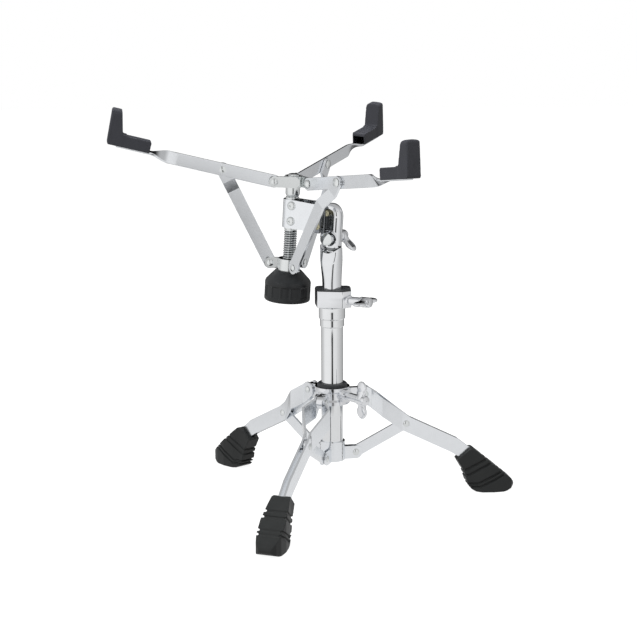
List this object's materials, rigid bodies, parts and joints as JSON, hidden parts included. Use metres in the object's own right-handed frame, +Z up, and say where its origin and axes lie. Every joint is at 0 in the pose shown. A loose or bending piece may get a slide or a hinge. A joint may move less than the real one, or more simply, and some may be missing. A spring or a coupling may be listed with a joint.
{
  "type": "snare drum stand",
  "caption": "Folding tripod stand with a telescopic tube, a tilting head and a basket of hinged arms with rubber grips that close on a snare drum when the knob is turned.",
  "frame": {"origin": "on the floor, on the axis of the base tube", "axes": "+Z up along the base tube, +X to the right in the front view, +Y away from the viewer"},
  "size_m": [0.4722, 0.4257, 0.4628],
  "materials": {
    "chromed_tube": "bright chrome plate on drawn tube",
    "chromed_casting": "bright chrome plate on smooth castings",
    "bright_strip": "chrome plate on flat steel strip, slightly soft reflections",
    "steel_hardware": "plated fasteners and turned parts",
    "zinc_yellow": "yellow passivated zinc on the bracket bolts",
    "black_rubber": "matt moulded rubber with grooves",
    "black_knob": "moulded knob, satin",
    "black_nylon": "moulded nylon, satin"
  },
  "bodies": {
    "base": {"base_tube": "chromed_tube", "clamp_ferrule": "chromed_tube", "height_clamp": "chromed_casting", "clamp_bushing": "black_nylon", "brace_hub": "bright_strip", "brace_hub_rivets": "steel_hardware"},
    "clamp_wing": {"clamp_wing_screw": "chromed_casting"},
    "collar": {"leg_collar": "chromed_casting", "collar_bushing": "black_nylon", "leg_pivot_rivets": "steel_hardware"},
    "collar_wing": {"collar_wing_screw": "chromed_casting"},
    "upper_tube": {"upper_tube": "chromed_tube"},
    "tilter": {"tilter_base": "chromed_casting", "tilter_bolt": "steel_hardware"},
    "tilter_wing": {"tilter_wing_nut": "chromed_casting"},
    "basket": {"tilter_head": "chromed_casting", "bracket": "bright_strip", "bracket_bolts": "zinc_yellow", "rod_screws": "steel_hardware", "basket_rod": "steel_hardware", "basket_hub": "steel_hardware", "rod_top_nut": "steel_hardware", "arm_pivot_bolts": "steel_hardware"},
    "slider": {"slider_hub": "steel_hardware", "slider_rivets": "steel_hardware"},
    "knob": {"basket_knob": "black_knob", "knob_insert": "steel_hardware"},
    "right_leg": {"right_leg_strip_a": "bright_strip", "right_leg_strip_b": "bright_strip", "right_leg_foot": "black_rubber", "right_leg_rivet": "steel_hardware"},
    "right_brace": {"right_leg_brace": "bright_strip"},
    "left_leg": {"left_leg_strip_a": "bright_strip", "left_leg_strip_b": "bright_strip", "left_leg_foot": "black_rubber", "left_leg_rivet": "steel_hardware"},
    "left_brace": {"left_leg_brace": "bright_strip"},
    "front_leg": {"front_leg_strip_a": "bright_strip", "front_leg_strip_b": "bright_strip", "front_leg_foot": "black_rubber", "front_leg_rivet": "steel_hardware"},
    "front_brace": {"front_leg_brace": "bright_strip"},
    "left_arm": {"left_arm_strip": "bright_strip", "left_arm_grip": "black_rubber", "left_arm_rivet": "steel_hardware"},
    "left_link": {"left_arm_link": "bright_strip"},
    "right_arm": {"right_arm_strip": "bright_strip", "right_arm_grip": "black_rubber", "right_arm_rivet": "steel_hardware"},
    "right_link": {"right_arm_link": "bright_strip"},
    "back_arm": {"back_arm_strip": "bright_strip", "back_arm_grip": "black_rubber", "back_arm_rivet": "steel_hardware"},
    "back_link": {"back_arm_link": "bright_strip"}
  },
  "joints": [
    {"name": "leg_collar_slide", "type": "slide", "parent": "base", "child": "collar", "axis": [0, 0, 1], "range_m": [0, 0.05]},
    {"name": "collar_wing_spin", "type": "hinge", "parent": "collar", "child": "collar_wing", "pos_m": [0.03318, -0.04004, 0.13], "axis": [0.6381, -0.77, 0], "range_deg": [0, 720]},
    {"name": "right_leg_fold", "type": "hinge", "parent": "collar", "child": "right_leg", "pos_m": [0.03746, 0.00637, 0.127], "axis": [-0.1676, 0.9859, 0], "range_deg": [0, 30.2]},
    {"name": "right_brace_fold", "type": "hinge", "parent": "base", "child": "right_brace", "pos_m": [0.02721, 0.00463, 0.0567], "axis": [-0.1676, 0.9859, 0], "range_deg": [-32.9, 0]},
    {"name": "left_leg_fold", "type": "hinge", "parent": "collar", "child": "left_leg", "pos_m": [-0.02425, 0.02926, 0.127], "axis": [-0.77, -0.6381, 0], "range_deg": [0, 30.2]},
    {"name": "left_brace_fold", "type": "hinge", "parent": "base", "child": "left_brace", "pos_m": [-0.01761, 0.02125, 0.0567], "axis": [-0.77, -0.6381, 0], "range_deg": [-32.9, 0]},
    {"name": "front_leg_fold", "type": "hinge", "parent": "collar", "child": "front_leg", "pos_m": [-0.01321, -0.03563, 0.127], "axis": [0.9376, -0.3478, 0], "range_deg": [0, 30.2]},
    {"name": "front_brace_fold", "type": "hinge", "parent": "base", "child": "front_brace", "pos_m": [-0.0096, -0.02588, 0.0567], "axis": [0.9376, -0.3478, 0], "range_deg": [-32.9, 0]},
    {"name": "height_slide", "type": "slide", "parent": "base", "child": "upper_tube", "axis": [0, 0, 1], "range_m": [0, 0.13]},
    {"name": "clamp_wing_spin", "type": "hinge", "parent": "base", "child": "clamp_wing", "pos_m": [0.02035, -0.01175, 0.2406], "axis": [0.866, -0.5, 0], "range_deg": [0, 720]},
    {"name": "basket_swivel", "type": "hinge", "parent": "upper_tube", "child": "tilter", "pos_m": [0, 0, 0.282], "axis": [0, 0, 1], "range_deg": [-110, 110]},
    {"name": "basket_tilt", "type": "hinge", "parent": "tilter", "child": "basket", "pos_m": [0, 0, 0.312], "axis": [0.506, 0.8625, 0], "range_deg": [-3.05, 35.95]},
    {"name": "tilter_wing_spin", "type": "hinge", "parent": "tilter", "child": "tilter_wing", "pos_m": [0, 0, 0.312], "axis": [0.506, 0.8625, 0], "range_deg": [0, 720]},
    {"name": "slider_slide", "type": "slide", "parent": "basket", "child": "slider", "axis": [0.0609, -0.0357, 0.9975], "range_m": [0, 0.022]},
    {"name": "knob_spin", "type": "hinge", "parent": "slider", "child": "knob", "pos_m": [-0.04991, 0.02928, 0.27058], "axis": [0.0609, -0.0357, 0.9975], "range_deg": [0, 2641]},
    {"name": "left_arm_lift", "type": "hinge", "parent": "basket", "child": "left_arm", "pos_m": [-0.06616, 0.02273, 0.3756], "axis": [0.1223, -0.9916, -0.043], "range_deg": [-28.7, 0]},
    {"name": "left_link_turn", "type": "hinge", "parent": "slider", "child": "left_link", "pos_m": [-0.0708, 0.02637, 0.27847], "axis": [0.1223, -0.9916, -0.043], "range_deg": [-6.1, 0]},
    {"name": "right_arm_lift", "type": "hinge", "parent": "basket", "child": "right_arm", "pos_m": [-0.03077, 0.00676, 0.37287], "axis": [0.8252, 0.5641, -0.0302], "range_deg": [-28.7, 0]},
    {"name": "right_link_turn", "type": "hinge", "parent": "slider", "child": "right_link", "pos_m": [-0.03743, 0.01131, 0.27589], "axis": [0.8252, 0.5641, -0.0302], "range_deg": [-6.1, 0]},
    {"name": "back_arm_lift", "type": "hinge", "parent": "basket", "child": "back_arm", "pos_m": [-0.03214, 0.04529, 0.37433], "axis": [-0.863, 0.5002, 0.0706], "range_deg": [-28.7, 0]},
    {"name": "back_link_turn", "type": "hinge", "parent": "slider", "child": "back_link", "pos_m": [-0.03872, 0.04764, 0.27727], "axis": [-0.863, 0.5002, 0.0706], "range_deg": [-6.1, 0]}
  ],
  "couplings": [
    {"joint": "right_leg_fold", "follows": "leg_collar_slide", "rad_per_m": 10.483},
    {"joint": "right_brace_fold", "follows": "leg_collar_slide", "rad_per_m": -11.444},
    {"joint": "left_leg_fold", "follows": "leg_collar_slide", "rad_per_m": 10.483},
    {"joint": "left_brace_fold", "follows": "leg_collar_slide", "rad_per_m": -11.444},
    {"joint": "front_leg_fold", "follows": "leg_collar_slide", "rad_per_m": 10.483},
    {"joint": "front_brace_fold", "follows": "leg_collar_slide", "rad_per_m": -11.444},
    {"joint": "knob_spin", "follows": "slider_slide", "rad_per_m": 2094.4},
    {"joint": "left_arm_lift", "follows": "slider_slide", "rad_per_m": -22.67},
    {"joint": "left_link_turn", "follows": "slider_slide", "rad_per_m": -4.7763},
    {"joint": "right_arm_lift", "follows": "slider_slide", "rad_per_m": -22.67},
    {"joint": "right_link_turn", "follows": "slider_slide", "rad_per_m": -4.7763},
    {"joint": "back_arm_lift", "follows": "slider_slide", "rad_per_m": -22.67},
    {"joint": "back_link_turn", "follows": "slider_slide", "rad_per_m": -4.7763}
  ]
}
